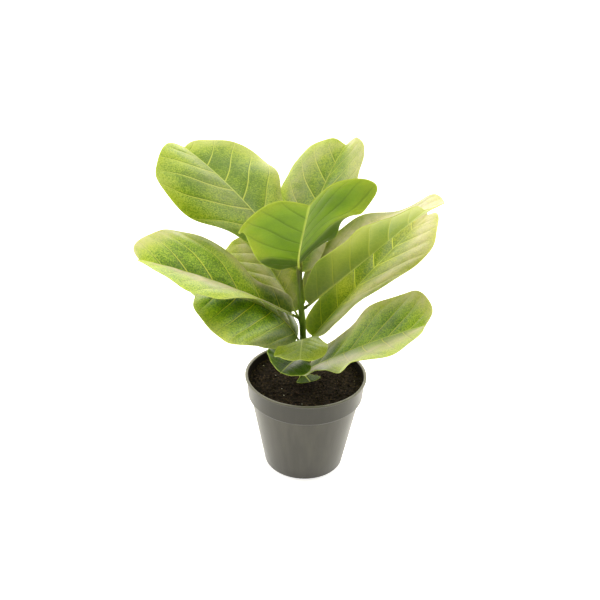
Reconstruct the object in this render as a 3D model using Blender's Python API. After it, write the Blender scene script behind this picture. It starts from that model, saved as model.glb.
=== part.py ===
"""A young fiddle leaf fig in a round plastic nursery pot.

Frame: +Z up, metres. The origin is the centre of the pot's underside, on the surface it stands on.
The plant's front, where the tallest open side of the crown is, faces -Y.
"""

import math
from typing import NamedTuple

import bmesh
import bpy
import numpy as np

MM = 0.001
GAP = 0.3 * MM  # between pieces that rest on each other

# Pot: one thin tapered shell with a deeper collar at the top and a rolled lip.
RIM_RADIUS = 60.0 * MM
POT_HEIGHT = 100.0 * MM
BASE_RADIUS = 39.5 * MM
WALL = 1.6 * MM
FLOOR = 4.0 * MM
COLLAR_HEIGHT = 23.0 * MM  # from the top of the pot down to the step
COLLAR_STEP = 3.0 * MM  # how far the collar stands out from the wall
COLLAR_FLARE = 1.6 * MM
STEP_SLOPE = 2.2 * MM
LIP_OVERHANG = 1.4 * MM
LIP_WIDTH = 2.6 * MM
LIP_HEIGHT = 2.0 * MM
FOOT_ROUND = 1.2 * MM
FOOT_RING = 7.0 * MM  # width of the ring that the pot stands on
CENTRE_PAD = 12.0 * MM  # radius of the flat middle of the underside
CHANNEL = 1.8 * MM  # drainage channel under the floor
DRAIN_HOLES = 6
DRAIN_RADIUS = 3.5 * MM
TURN_STEPS = 48

# Potting soil
SOIL_BELOW_RIM = 9.0 * MM  # at the wall
SOIL_CROWN = 3.0 * MM  # the soil is this much higher round the stem
SOIL_RINGS = 5
SOCKET_REACH = 4.0 * MM  # the hole in the soil takes the stem up to this height above the soil's edge

# Stem. The plant's heights are from the soil's edge at the wall, so the plant moves with the soil.
# STEM_SWAY is the sideways offset at each height, and STEM_RADIUS the radius, in millimetres.
STEM_SWAY = ((-31, -3.7), (4, -3.7), (39, -3.2), (62, -4.6), (85, -6.7), (109, -8.6), (131, -9.6))
STEM_RADIUS = ((-31, 2.6), (4, 2.8), (19, 3.0), (59, 3.3), (94, 3.1), (131, 2.5))
STEM_FOOT = -31.0 * MM  # the planted end
STEM_TOP = 131.0 * MM
BUD_LENGTH = 12.0 * MM
BUD_SHAPE = ((0.4, 0.9), (0.8, 0.5), (1.0, 0.15))  # (share of the bud's length, share of its radius)
STEM_SIDES = 12
STEM_RINGS = 15

# Leaf blade, stalk and midrib
BLADE_THICKNESS = 0.8 * MM
EDGE_THICKNESS = 0.5 * MM
STALK_RADIUS = 1.4 * MM
STALK_FLATNESS = 0.6  # height of the stalk's upper half against its width
STALK_EDGE = 0.15 * MM
MIDRIB_DEPTH = 1.8 * MM  # how far the midrib stands out below the blade at the stalk
MIDRIB_HALF = 1.5 * MM
MIDRIB_TIP_DEPTH, MIDRIB_TIP_HALF = 0.15, 0.5  # shares of the two that are left at the tip
# Half of a blade's outline, from the stalk to the notch at the tip: (share of length, share of half width)
LEAF_OUTLINE = (
    (0.00, 0.03), (0.005, 0.17), (0.045, 0.33), (0.13, 0.43), (0.25, 0.52), (0.38, 0.68), (0.52, 0.87),
    (0.66, 0.99), (0.79, 1.00), (0.90, 0.85), (0.975, 0.58), (1.01, 0.30), (0.985, 0.02),
)
NOTCH = 0.985  # where the midrib ends, as a share of the length
WAIST_PLACE, WAIST_SPREAD = 0.25, 0.20
TIP_PLACE, TIP_SPREAD = 0.92, 0.12
RIPPLES = 2.2  # waves along a blade's margin
BLADE_COLUMNS = (-1, -0.68, -0.36, -0.04, 0, 0.04, 0.36, 0.68, 1)  # shares of the half width, from the left


class Leaf(NamedTuple):
    """How one leaf grows. Lengths are in millimetres and angles in degrees."""

    height: float  # where the stalk leaves the stem, above the soil's edge
    heading: float  # direction it grows in, turned from +X towards +Y
    length: float  # of the blade
    width: float  # of the blade
    stalk: float = 8
    rise: tuple = (40, 20)  # midrib's slope at the stem and at the tip
    swing: float = 0  # how far the heading turns by the tip
    roll: tuple = (0, 0)  # right-hand half up, at the base and at the tip
    fold: tuple = (25, 15)  # both halves up from the midrib, at the base and at the tip
    curl: tuple = (-5, -5)  # bend across the right and the left half
    ripple: float = 0  # height of the margin's waves
    ripple_start: float = 0  # share of a wave
    lopsided: float = 0  # share by which the right half is wider than the left
    waist: float = 0  # change of half width where the blade is narrow
    tip: float = 0  # change of half width near the tip


LEAVES = {
    "leaf_upper_left": Leaf(
        125, 141, 169, 130, rise=(40, 14), swing=-5, roll=(17, -11), fold=(-4, 16), curl=(-9, -36),
        ripple=5, ripple_start=-0.05, waist=-0.08, tip=-0.16,
    ),
    "leaf_top_back": Leaf(
        110, 85, 146, 96, rise=(43, 39), swing=-34, roll=(-2, 18), fold=(21, 24), curl=(-10, -36),
        ripple=-1, ripple_start=-0.1, tip=0.1,
    ),
    "leaf_front_centre": Leaf(
        125, -93, 151, 95, stalk=22, rise=(30, 53), swing=13, roll=(-33, -18), fold=(21, 33),
        curl=(-35, -52), ripple=4, ripple_start=-0.55, lopsided=-0.08, waist=0.18, tip=0.44,
    ),
    "leaf_upper_right": Leaf(
        83, -15, 152, 100, stalk=6, rise=(46, 49), swing=-5, roll=(17, 28), fold=(78, 5),
        curl=(-25, 13), ripple=-3, ripple_start=-0.05, lopsided=-0.25, waist=0.24, tip=0.26,
    ),
    "leaf_right_middle": Leaf(
        41, 40, 175, 103, stalk=10, rise=(36, 32), swing=-5, roll=(-5, 8), fold=(30, 10),
        curl=(-14, -9), waist=-0.1, tip=-0.2,
    ),
    "leaf_right_low": Leaf(
        13, -39, 153, 104, stalk=7, rise=(42, 32), swing=7, roll=(-20, -13), fold=(16, 11),
        curl=(1, 20), ripple=4, ripple_start=0.4, lopsided=0.1,
    ),
    "leaf_left_middle": Leaf(
        72, 188, 160, 108, rise=(32, 22), swing=16, roll=(16, 6), fold=(38, 24), curl=(-28, -34),
        ripple=1, waist=-0.25, tip=-0.18,
    ),
    "leaf_left_low": Leaf(
        45, 196, 120, 102, stalk=6, rise=(66, -6), swing=-4, roll=(34, -1), fold=(-2, -1),
        curl=(-42, -28), lopsided=-0.06, waist=0.19,
    ),
    "leaf_back_left": Leaf(
        67, 129, 103, 81, stalk=10, rise=(44, 15), swing=-2, roll=(-3, 20), fold=(22, -8),
        curl=(-5, -9),
    ),
    "leaf_low_front": Leaf(
        49, -92, 70, 49, stalk=4, rise=(37, -6), roll=(-22, -3), fold=(-1, 1), curl=(-5, -4),
        ripple=2, ripple_start=-0.2, waist=-0.06,
    ),
    "leaf_soil_front": Leaf(
        30, -111, 50, 47, stalk=5, rise=(21, 4), roll=(0, 20), fold=(28, 21), curl=(0, -5),
    ),
    "leaf_foot": Leaf(9.6, -64, 14, 25, stalk=1, rise=(4, -4), fold=(6, 4)),
}


def clear_scene():
    for thing in list(bpy.data.objects):
        bpy.data.objects.remove(thing, do_unlink=True)


def plain_material(name, colour, roughness):
    material = bpy.data.materials.new(name)
    material.use_nodes = True
    shader = material.node_tree.nodes["Principled BSDF"]
    shader.inputs["Base Color"].default_value = (*colour, 1)
    shader.inputs["Roughness"].default_value = roughness
    shader.inputs["Metallic"].default_value = 0
    return material


def add_object(name, mesh, material):
    made = bpy.data.objects.new(name, mesh)
    bpy.context.scene.collection.objects.link(made)
    mesh.materials.append(material)
    mesh.shade_smooth()
    mesh.set_sharp_from_angle(angle=math.radians(35))
    return made


def turned(name, profile, material):
    """Spin an outline of (radius, height) points, which starts and ends on the axis, round Z."""
    bm = bmesh.new()
    points = [bm.verts.new((radius, 0, height)) for radius, height in profile]
    edges = [bm.edges.new(pair) for pair in zip(points, points[1:])]
    bmesh.ops.spin(
        bm, geom=points + edges, cent=(0, 0, 0), axis=(0, 0, 1), angle=math.tau, steps=TURN_STEPS,
    )
    bmesh.ops.remove_doubles(bm, verts=bm.verts, dist=0.01 * MM)
    bmesh.ops.recalc_face_normals(bm, faces=bm.faces)
    mesh = bpy.data.meshes.new(name)
    bm.to_mesh(mesh)
    bm.free()
    return add_object(name, mesh, material)


def lofted(name, rings, material):
    """A closed solid through rings of points, all with the same number of points, capped at both ends."""
    bm = bmesh.new()
    loops = [[bm.verts.new(point) for point in ring] for ring in rings]
    for lower, upper in zip(loops, loops[1:]):
        for i in range(len(lower)):
            j = (i + 1) % len(lower)
            bm.faces.new((lower[i], lower[j], upper[j], upper[i]))
    for cap in (loops[0], loops[-1]):
        half = len(cap) // 2
        for i in range(half - 1):
            bm.faces.new((cap[i], cap[i + 1], cap[-2 - i], cap[-1 - i]))
    bmesh.ops.recalc_face_normals(bm, faces=bm.faces)
    mesh = bpy.data.meshes.new(name)
    bm.to_mesh(mesh)
    bm.free()
    return add_object(name, mesh, material)


def cutter(name, radius, low, high, x, y):
    bm = bmesh.new()
    bmesh.ops.create_cone(bm, cap_ends=True, segments=20, radius1=radius, radius2=radius, depth=high - low)
    bmesh.ops.translate(bm, verts=bm.verts, vec=(x, y, (low + high) / 2))
    mesh = bpy.data.meshes.new(name)
    bm.to_mesh(mesh)
    bm.free()
    made = bpy.data.objects.new(name, mesh)
    bpy.context.scene.collection.objects.link(made)
    made.hide_render = True
    made.display_type = "WIRE"
    return made


def cut(piece, tool):
    boolean = piece.modifiers.new(tool.name, "BOOLEAN")
    boolean.operation = "DIFFERENCE"
    boolean.object = tool


# Pot ------------------------------------------------------------------------------------------------

STEP_TOP = POT_HEIGHT - COLLAR_HEIGHT + STEP_SLOPE / 2
STEP_FOOT = POT_HEIGHT - COLLAR_HEIGHT - STEP_SLOPE / 2
LIP_FOOT = POT_HEIGHT - LIP_HEIGHT
COLLAR_TOP_RADIUS = RIM_RADIUS - LIP_OVERHANG
COLLAR_FOOT_RADIUS = COLLAR_TOP_RADIUS - COLLAR_FLARE
WALL_TOP_RADIUS = COLLAR_FOOT_RADIUS - COLLAR_STEP
LIP_EDGE = 0.5 * MM
SOIL_LEVEL = POT_HEIGHT - SOIL_BELOW_RIM


def pot_inside():
    """The inner wall's (radius, height), from the floor up to where the lip starts."""
    return (
        (BASE_RADIUS - WALL, FLOOR),
        (WALL_TOP_RADIUS - WALL, STEP_FOOT + WALL / 4),
        (COLLAR_FOOT_RADIUS - WALL, STEP_TOP + WALL / 4),
        (COLLAR_TOP_RADIUS - WALL, LIP_FOOT),
    )


def make_pot(material):
    outside = (
        (0, 0),
        (CENTRE_PAD, 0),
        (CENTRE_PAD + CHANNEL, CHANNEL),
        (BASE_RADIUS - FOOT_RING - CHANNEL, CHANNEL),
        (BASE_RADIUS - FOOT_RING, 0),
        (BASE_RADIUS - FOOT_ROUND, 0),
        (BASE_RADIUS - FOOT_ROUND * 0.3, FOOT_ROUND * 0.3),
        (BASE_RADIUS, FOOT_ROUND),
        (WALL_TOP_RADIUS, STEP_FOOT),
        (COLLAR_FOOT_RADIUS, STEP_TOP),
        (COLLAR_TOP_RADIUS, LIP_FOOT),
        (RIM_RADIUS, LIP_FOOT + LIP_EDGE),
        (RIM_RADIUS, POT_HEIGHT - LIP_EDGE),
        (RIM_RADIUS - LIP_EDGE, POT_HEIGHT),
        (RIM_RADIUS - LIP_WIDTH, POT_HEIGHT),
    )
    pot = turned("pot", outside + pot_inside()[::-1] + ((0, FLOOR),), material)
    ring = (CENTRE_PAD + BASE_RADIUS - FOOT_RING) / 2
    for i in range(DRAIN_HOLES):
        angle = math.tau * (i + 0.5) / DRAIN_HOLES
        x, y = ring * math.cos(angle), ring * math.sin(angle)
        cut(pot, cutter(f"drain_cutter_{i + 1}", DRAIN_RADIUS, -FLOOR, 2 * FLOOR, x, y))
    return pot


# Stem -----------------------------------------------------------------------------------------------


def read_off(table, height):
    heights, values = zip(*table)
    return np.interp(height / MM, heights, values) * MM


def make_stem(material):
    rings = []
    levels = [(height, 1.0) for height in np.linspace(STEM_FOOT, STEM_TOP, STEM_RINGS)]
    levels += [(STEM_TOP + BUD_LENGTH * rise, width) for rise, width in BUD_SHAPE]
    for height, share in levels:
        radius = read_off(STEM_RADIUS, height) * share
        turns = [math.tau * i / STEM_SIDES for i in range(STEM_SIDES)]
        sway = read_off(STEM_SWAY, height)
        level = SOIL_LEVEL + height
        rings.append([(sway + radius * math.cos(a), radius * math.sin(a), level) for a in turns])
    return lofted("stem", rings, material)


# Potting soil ---------------------------------------------------------------------------------------


def soil_height(radius, edge):
    return SOIL_LEVEL + SOIL_CROWN * (1 - (radius / edge) ** 2)


def make_soil(material):
    wall = [(radius - GAP, height + GAP) for radius, height in pot_inside()[:3]]
    (low_radius, low), (high_radius, high) = pot_inside()[2:]
    edge = low_radius + (high_radius - low_radius) * (SOIL_LEVEL - low) / (high - low) - GAP
    radii = [edge * i / SOIL_RINGS for i in range(SOIL_RINGS, -1, -1)]
    surface = [(radius, soil_height(radius, edge)) for radius in radii]
    soil = turned("potting_soil", [(0, FLOOR + GAP)] + wall + surface, material)
    hole = read_off(STEM_RADIUS, SOCKET_REACH) + 2 * GAP
    sway = read_off(STEM_SWAY, STEM_FOOT)
    cut(soil, cutter("stem_socket_cutter", hole, SOIL_LEVEL + STEM_FOOT - GAP, POT_HEIGHT, sway, 0))
    return soil


# Leaves ---------------------------------------------------------------------------------------------


def smooth_through(points, share):
    """A Catmull-Rom curve through points, read at shares of the way along it."""
    points = np.asarray(points, float)
    last = len(points) - 1
    place = np.clip(share, 0, 1) * last
    i = np.minimum(place.astype(int), last - 1)
    t = (place - i)[..., None]
    before, here = points[np.maximum(i - 1, 0)], points[i]
    there, after = points[i + 1], points[np.minimum(i + 2, last)]
    return 0.5 * (
        2 * here
        + (there - before) * t
        + (2 * before - 5 * here + 4 * there - after) * t**2
        + (3 * here - before - 3 * there + after) * t**3
    )


def bump_at(share, place, spread):
    return np.exp(-(((share - place) / spread) ** 2))


def blade_grid(leaf, rows, columns):
    """The flat blade as (along, across) in metres: rows from stalk to tip, columns from left to right."""
    share = np.linspace(0, 1, rows)
    along, across = smooth_through(LEAF_OUTLINE, share).T
    across = across + leaf.waist * bump_at(along, WAIST_PLACE, WAIST_SPREAD) * np.sin(math.pi * share)
    across = across + leaf.tip * bump_at(along, TIP_PLACE, TIP_SPREAD) * np.clip((1 - share) / 0.08, 0, 1)
    side = np.sign(columns)
    lean = np.abs(columns) ** 1.5
    a = (NOTCH * share[:, None] * (1 - lean) + along[:, None] * lean) * leaf.length * MM
    b = columns * across[:, None] * leaf.width / 2 * MM * (1 + leaf.lopsided * side)
    return a, b


def blend(pair, share):
    return np.radians(pair[0] + (pair[1] - pair[0]) * share)


def midrib_frame(leaf, along):
    """Place, direction, right-hand side and upper side of the midrib at distances from the stem."""
    total = (leaf.length + leaf.stalk) * MM
    steps = np.linspace(-0.1 * total, 1.05 * total, 70)

    def direction(distance):
        share = np.clip(distance / total, 0, 1)
        slope, turn = blend(leaf.rise, share), blend((leaf.heading, leaf.heading + leaf.swing), share)
        level = np.cos(slope)
        return turn, np.stack([level * np.cos(turn), level * np.sin(turn), np.sin(slope)], -1)

    ahead = direction(steps)[1]
    middle = (ahead[1:] + ahead[:-1]) / 2 * (steps[1] - steps[0])
    track = np.vstack([np.zeros(3), np.cumsum(middle, axis=0)])
    origin = [np.interp(0, steps, track[:, i]) for i in range(3)]
    facing = math.radians(leaf.heading)
    height = leaf.height * MM
    out = read_off(STEM_RADIUS, height) + GAP
    sway = read_off(STEM_SWAY, height)
    start = np.array([sway + out * math.cos(facing), out * math.sin(facing), SOIL_LEVEL + height])
    place = np.stack([np.interp(along, steps, track[:, i] - origin[i]) for i in range(3)], -1) + start
    turn, forward = direction(along)
    right = np.stack([np.sin(turn), -np.cos(turn), 0 * turn], -1)
    return place, forward, right, np.cross(right, forward)


def leaf_surface(leaf, a, b):
    """Bend flat blade points into space: the midrib's arc, the fold, the curl and the rippled margin."""
    place, _, right, up = midrib_frame(leaf, a + leaf.stalk * MM)
    share = np.clip(a / (leaf.length * MM), 0, 1)
    roll = blend(leaf.roll, share)[..., None]
    right, up = np.cos(roll) * right + np.sin(roll) * up, np.cos(roll) * up - np.sin(roll) * right
    fold = blend(leaf.fold, share)
    half = leaf.width / 2 * MM
    reach = np.abs(b) / half
    curl = np.radians(np.where(b > 0, leaf.curl[0], leaf.curl[1]) + 0.05)
    sideways = np.sign(b) * half / curl * (np.sin(fold + curl * reach) - np.sin(fold))
    upwards = -half / curl * (np.cos(fold + curl * reach) - np.cos(fold))
    wave = math.tau * (RIPPLES * share + leaf.ripple_start + 0.25 * np.sign(b))
    upwards = upwards + leaf.ripple * MM * np.sin(wave) * reach**2
    return place + right * sideways[..., None] + up * upwards[..., None]


def surface_normals(points):
    along, across = np.gradient(points, axis=0), np.gradient(points, axis=1)
    normals = np.cross(across, along)
    return normals / np.linalg.norm(normals, axis=-1, keepdims=True)


def make_leaf(name, leaf, material):
    rows = len(LEAF_OUTLINE)
    columns = np.array(BLADE_COLUMNS)
    middle = len(columns) // 2
    a, b = blade_grid(leaf, rows, columns)
    rib = MIDRIB_HALF * np.linspace(1, MIDRIB_TIP_HALF, rows)
    for side in (-1, 1):
        b[:, middle + side] = side * np.minimum(rib, np.abs(b[:, -1]) / 2)
    points = leaf_surface(leaf, a, b)
    upper = surface_normals(points)
    thick = np.where(np.abs(columns) == 1, EDGE_THICKNESS, BLADE_THICKNESS) * np.ones((rows, 1))
    thick[:, middle] += MIDRIB_DEPTH * np.linspace(1, MIDRIB_TIP_DEPTH, rows)

    # The stalk's two rings: one cut along the stem's side, one part of the way to the blade.
    place, forward, right, up = midrib_frame(leaf, np.array([0, leaf.stalk * MM / 2]))
    angles = np.linspace(math.pi, 0, len(columns))[:, None]
    rings = []
    for i in range(2):
        across = STALK_RADIUS * np.cos(angles) * right[i]
        rise = STALK_RADIUS * np.sin(angles) * up[i]
        top = place[i] + across + STALK_FLATNESS * rise
        foot = place[i] + across - rise - STALK_EDGE * up[i]
        rings.append(np.vstack([top, foot[::-1]]))
    facing = math.radians(leaf.heading)
    outwards = np.array([math.cos(facing), math.sin(facing), 0])
    slant = (rings[0] - place[0]) @ outwards / (forward[0] @ outwards)
    rings[0] = rings[0] - slant[:, None] * forward[0]
    for i in range(rows):
        under = points[i] - upper[i] * thick[i][:, None]
        rings.append(np.vstack([points[i], under[::-1]]))
    return lofted(name, rings, material)


def main():
    clear_scene()
    plastic = plain_material("taupe_grey_polypropylene", (0.085, 0.082, 0.078), 0.42)
    peat = plain_material("dark_peat_potting_soil", (0.018, 0.013, 0.010), 0.95)
    bark = plain_material("green_fig_stem", (0.12, 0.17, 0.03), 0.55)
    make_pot(plastic)
    make_soil(peat)
    make_stem(bark)
    for name, leaf in LEAVES.items():
        blade = plain_material(name + "_blade", (0.15, 0.31, 0.03), 0.38)
        make_leaf(name, leaf, blade)


main()
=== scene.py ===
"""A young fiddle leaf fig in a plastic nursery pot: the looks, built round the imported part."""

import math
import random
from typing import NamedTuple

import bpy
import numpy as np
from mathutils import Matrix, Vector, noise


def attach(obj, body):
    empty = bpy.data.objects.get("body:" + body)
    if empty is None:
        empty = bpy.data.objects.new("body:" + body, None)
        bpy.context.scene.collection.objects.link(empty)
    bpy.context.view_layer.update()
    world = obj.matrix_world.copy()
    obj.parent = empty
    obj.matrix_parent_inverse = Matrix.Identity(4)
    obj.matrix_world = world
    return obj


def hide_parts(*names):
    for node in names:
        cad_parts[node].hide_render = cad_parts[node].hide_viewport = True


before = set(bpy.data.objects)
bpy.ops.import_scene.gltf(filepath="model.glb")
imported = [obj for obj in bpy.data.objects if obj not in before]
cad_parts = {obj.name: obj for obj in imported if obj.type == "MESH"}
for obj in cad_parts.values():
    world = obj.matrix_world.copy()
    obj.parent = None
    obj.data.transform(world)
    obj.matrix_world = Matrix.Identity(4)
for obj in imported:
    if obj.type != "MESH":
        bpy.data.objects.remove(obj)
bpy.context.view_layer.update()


# Camera, lights and floor -----------------------------------------------------------------------------
# A product table of white acrylic, lit from below so that no shadow falls on it, with a large softbox at
# each side, one overhead and one behind. The camera stands 0.75 m in front and looks down on the pot.

CAMERA_PLACE = (-0.0078, -0.750, 0.5696)
CAMERA_DOWN = math.radians(27.37)
CAMERA_LEAN = math.radians(1.55)
CAMERA_LENS = 53.52  # millimetres, on a sensor 36 mm wide
CAMERA_NEAREST = 0.02
SOFTBOXES = (  # name, place and side in metres, watts
    ("softbox_left", (-1.25, 0.40, 0.62), 1.0, 14),
    ("softbox_right", (1.25, 0.50, 0.62), 1.0, 14),
    ("softbox_top", (0.0, 0.05, 1.5), 0.9, 12),
    ("softbox_back", (0.0, 1.5, 0.8), 1.5, 12),
)
SOFTBOX_COLOUR = "#fff8ea"
SOFTBOXES_AIM = Vector((0, 0, 0.2))
ROOM_BRIGHTNESS, TABLE_GLOW = 0.9, 0.75
TABLE_SIZE, TABLE_PLACE = 14, (0, 3, -0.0002)  # its top just clears the pot's foot


def linear(code):
    """An sRGB hex colour as linear red, green, blue and alpha."""
    parts = [int(code[i:i + 2], 16) / 255 for i in (1, 3, 5)]
    return [p / 12.92 if p <= 0.04045 else ((p + 0.055) / 1.055) ** 2.4 for p in parts] + [1]


def add_node(material, kind, settings=None, inputs=None):
    """Add one shader node. An input is a value, or another node's output to link from."""
    tree = material.node_tree
    made = tree.nodes.new("ShaderNode" + kind)
    for name, value in (settings or {}).items():
        if name == "stops":
            ramp = made.color_ramp.elements
            for _ in value[2:]:
                ramp.new(0.5)
            for stop, (place, code) in zip(ramp, value):
                stop.position = place
                stop.color = linear(code) if isinstance(code, str) else (code, code, code, 1)
        else:
            setattr(made, name, value)
    for name, value in (inputs or {}).items():
        if isinstance(value, bpy.types.NodeSocket):
            tree.links.new(value, made.inputs[name])
        else:
            made.inputs[name].default_value = value
    return made


def new_material(name):
    """A material with nothing in it but its output."""
    material = bpy.data.materials.new(name)
    material.use_nodes = True
    material.node_tree.nodes.clear()
    return material


def finish_material(material, inputs):
    """Join a Principled surface to the material's output."""
    surface = add_node(material, "BsdfPrincipled", inputs=inputs)
    add_node(material, "OutputMaterial", inputs={"Surface": surface.outputs["BSDF"]})


bpy.ops.object.select_all(action="DESELECT")
bpy.ops.object.camera_add(location=CAMERA_PLACE)
camera = bpy.context.object
camera.name = "camera"
aim = Matrix.Rotation(math.pi / 2 - CAMERA_DOWN, 3, "X") @ Matrix.Rotation(CAMERA_LEAN, 3, "Z")
camera.rotation_euler = aim.to_euler()
camera.data.lens = CAMERA_LENS
camera.data.clip_start = CAMERA_NEAREST
bpy.context.scene.camera = camera

for name, place, side, watts in SOFTBOXES:
    bpy.ops.object.light_add(type="AREA", location=place)
    lamp = bpy.context.object
    lamp.name = name
    lamp.data.shape = "SQUARE"
    lamp.data.size = side
    lamp.data.energy = watts
    lamp.data.color = linear(SOFTBOX_COLOUR)[:3]
    lamp.rotation_euler = (SOFTBOXES_AIM - Vector(place)).to_track_quat("-Z", "Y").to_euler()

# The light comes from behind and falls off towards the unlit side, where the camera stands. The walls
# themselves are white all round.
world = bpy.data.worlds.new("white_room")
world.use_nodes = True
looking = add_node(world, "SeparateXYZ", inputs={"Vector": add_node(world, "TexCoord").outputs["Generated"]})
front_to_back = add_node(world, "MapRange", inputs={
    "Value": looking.outputs["Y"], "From Min": -1.0, "From Max": 1.0})
falloff = add_node(world, "ValToRGB", {"stops": ((0.22, "#4a4945"), (0.48, "#878580"), (0.80, "#fff9ee"))},
                   {"Fac": front_to_back.outputs["Result"]})
walls = add_node(world, "Mix", {"data_type": "RGBA"}, {
    "Factor": add_node(world, "LightPath").outputs["Is Camera Ray"], "A": falloff.outputs["Color"],
    "B": linear("#fbfbfa")})
room = world.node_tree.nodes["Background"]
world.node_tree.links.new(walls.outputs["Result"], room.inputs["Color"])
room.inputs["Strength"].default_value = ROOM_BRIGHTNESS
bpy.context.scene.world = world
bpy.context.scene.view_settings.view_transform = "Standard"

bpy.ops.mesh.primitive_plane_add(size=TABLE_SIZE, location=TABLE_PLACE)
floor = bpy.context.object
floor.name = "floor"

# Opal acrylic sheet lit from below: matt white, with a trace of unevenness.
acrylic = new_material("backlit_white_acrylic")
grain = add_node(acrylic, "TexNoise", inputs={"Scale": 220.0, "Detail": 3.0})
finish_material(acrylic, {
    "Base Color": add_node(acrylic, "ValToRGB", {"stops": ((0.3, "#f6f6f5"), (0.7, "#fbfbfa"))},
                           {"Fac": grain.outputs["Fac"]}).outputs["Color"],
    "Roughness": 0.9, "Emission Color": linear("#ffffff"), "Emission Strength": TABLE_GLOW,
})
floor.data.materials.append(acrylic)


# Pot --------------------------------------------------------------------------------------------------
# An injection-moulded nursery pot in taupe-grey polypropylene, one thin tapered wall with a deeper band
# round the top and a rolled lip. It is drawn up from the flat underside, one ring after another, over
# the lip and down the inside to the floor, and then the drain holes are cut.

MM = 0.001
RIM_RADIUS, POT_HEIGHT, BASE_RADIUS = 60.0 * MM, 100.0 * MM, 39.5 * MM
WALL, FLOOR = 1.6 * MM, 4.0 * MM
BAND_LOW, BAND_HIGH = 75.9 * MM, 78.1 * MM
WALL_TOP, BAND_FOOT, BAND_TOP = 54.0 * MM, 57.0 * MM, 58.6 * MM
LIP_LOW, LIP_WIDTH = 98.0 * MM, 2.6 * MM
PAD, CHANNEL, FOOT_RING = 12.0 * MM, 1.8 * MM, 7.0 * MM
HOLES, HOLE_RADIUS, DRILL_LENGTH = 6, 3.5 * MM, 14 * MM
POT_SIDES, ARC_SHARES, POT_CREASE = 160, (0, 0.25, 0.5, 0.75, 1), math.radians(38)


def rounded(corners):
    """Points of an outline whose corners, each (radius, height, rounding), become short arcs."""
    points = []
    for i, (r, z, size) in enumerate(corners):
        here = Vector((r, z))
        if not size or i in (0, len(corners) - 1):
            points.append(here)
            continue
        before = Vector(corners[i - 1][:2]) - here
        after = Vector(corners[i + 1][:2]) - here
        # A little under half of either side, so that two arcs on one side never meet.
        reach = min(size, before.length * 0.48, after.length * 0.48)
        start, end = here + before.normalized() * reach, here + after.normalized() * reach
        for t in ARC_SHARES:
            points.append(start * (1 - t) ** 2 + here * (2 * t * (1 - t)) + end * t * t)
    return [(point.x, point.y) for point in points]


def draw_rings(name, rings, sides):
    """A disc at the first ring, (radius, x, y, z), extruded on through the others and closed at the end."""
    bpy.ops.object.select_all(action="DESELECT")
    radius, x, y, z = rings[0]
    bpy.ops.mesh.primitive_circle_add(vertices=sides, radius=radius, location=(0, 0, 0), fill_type="NGON")
    made = bpy.context.object
    made.name = name
    bpy.ops.object.mode_set(mode="EDIT")
    bpy.ops.mesh.select_all(action="SELECT")
    bpy.ops.transform.translate(value=(x, y, z))
    bpy.ops.mesh.select_mode(type="EDGE")
    bpy.ops.mesh.select_all(action="DESELECT")
    bpy.ops.mesh.select_non_manifold()
    for new in rings[1:]:
        step = (new[1] - x, new[2] - y, new[3] - z)
        bpy.ops.mesh.extrude_region_move(TRANSFORM_OT_translate={"value": step})
        bpy.ops.transform.resize(value=(new[0] / radius, new[0] / radius, 1))
        radius, x, y, z = new
    bpy.ops.mesh.edge_face_add()
    bpy.ops.mesh.select_all(action="SELECT")
    bpy.ops.mesh.normals_make_consistent(inside=False)
    bpy.ops.object.mode_set(mode="OBJECT")
    return made


outline = rounded((
    (PAD, 0, 0),
    (PAD + CHANNEL, CHANNEL, 0.6 * MM),
    (BASE_RADIUS - FOOT_RING - CHANNEL, CHANNEL, 0.6 * MM),
    (BASE_RADIUS - FOOT_RING, 0, 0.5 * MM),
    (BASE_RADIUS, 0, 1.3 * MM),
    (WALL_TOP, BAND_LOW, 0.9 * MM),
    (BAND_FOOT, BAND_HIGH, 1.0 * MM),
    (BAND_TOP, LIP_LOW, 0.35 * MM),
    (RIM_RADIUS, LIP_LOW + 0.3 * MM, 0.3 * MM),
    (RIM_RADIUS, POT_HEIGHT, 0.8 * MM),
    (RIM_RADIUS - LIP_WIDTH, POT_HEIGHT, 0.7 * MM),
    (BAND_TOP - WALL, LIP_LOW, 0.5 * MM),
    (BAND_FOOT - WALL, BAND_HIGH + WALL / 4, 1.0 * MM),
    (WALL_TOP - WALL, BAND_LOW + WALL / 4, 1.0 * MM),
    (BASE_RADIUS - WALL, FLOOR, 0.9 * MM),
    (BASE_RADIUS / 2, FLOOR, 0),
))
pot = draw_rings("nursery_pot", [(r, 0, 0, z) for r, z in outline], POT_SIDES)
hole_ring = (PAD + BASE_RADIUS - FOOT_RING) / 2
for i in range(HOLES):
    angle = math.tau * (i + 0.5) / HOLES
    bpy.ops.object.select_all(action="DESELECT")
    bpy.ops.mesh.primitive_cylinder_add(
        vertices=32, radius=HOLE_RADIUS, depth=DRILL_LENGTH,
        location=(hole_ring * math.cos(angle), hole_ring * math.sin(angle), 0),
    )
    drill = bpy.context.object
    bpy.context.view_layer.objects.active = pot
    drilled = pot.modifiers.new("drain_hole", "BOOLEAN")
    drilled.operation = "DIFFERENCE"
    drilled.object = drill
    bpy.ops.object.modifier_apply(modifier=drilled.name)
    bpy.data.objects.remove(drill)
bpy.ops.object.select_all(action="DESELECT")
pot.select_set(True)
bpy.context.view_layer.objects.active = pot
bpy.ops.object.shade_smooth_by_angle(angle=POT_CREASE)

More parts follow.
